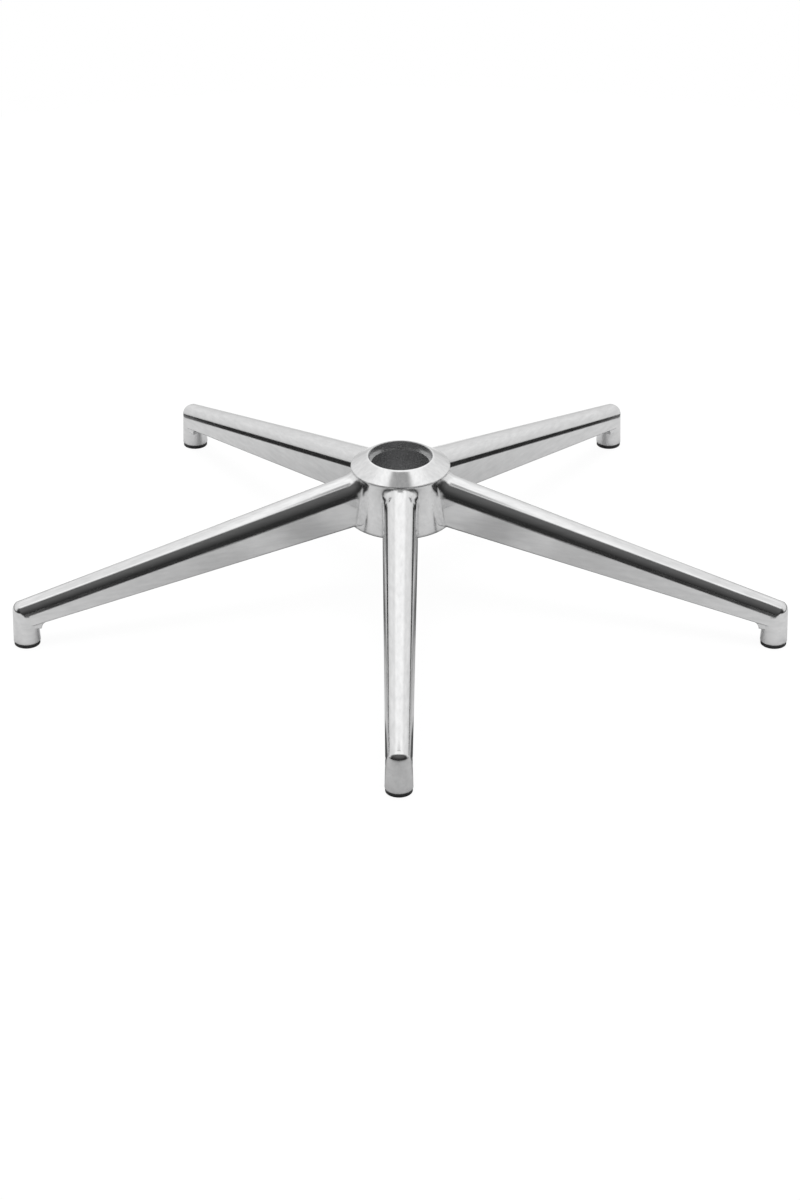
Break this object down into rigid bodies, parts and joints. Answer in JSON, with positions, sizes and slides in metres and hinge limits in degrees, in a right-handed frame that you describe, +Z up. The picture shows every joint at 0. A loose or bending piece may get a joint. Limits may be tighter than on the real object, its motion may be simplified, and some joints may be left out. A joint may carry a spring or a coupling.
{
  "type": "office chair base",
  "caption": "Polished cast-aluminium star base for an office chair, with tapering ribbed arms, a hub with a tapered gas-lift socket and a caster-stem bush at each arm's end.",
  "frame": {"origin": "on the hub axis, at the level of the lower faces of the caster bushes, on which the base stands", "axes": "+Z up along the hub and gas-lift axis, -Y along the front arm, +X to the right of it"},
  "size_m": [0.6484, 0.6178, 0.124],
  "materials": {
    "polished_aluminium": "polished casting",
    "black_plastic": "moulded, satin"
  },
  "bodies": {
    "root": {"base_casting": "polished_aluminium", "caster_bush_front": "black_plastic", "caster_bush_front_right": "black_plastic", "caster_bush_back_right": "black_plastic", "caster_bush_back_left": "black_plastic", "caster_bush_front_left": "black_plastic"}
  },
  "joints": []
}
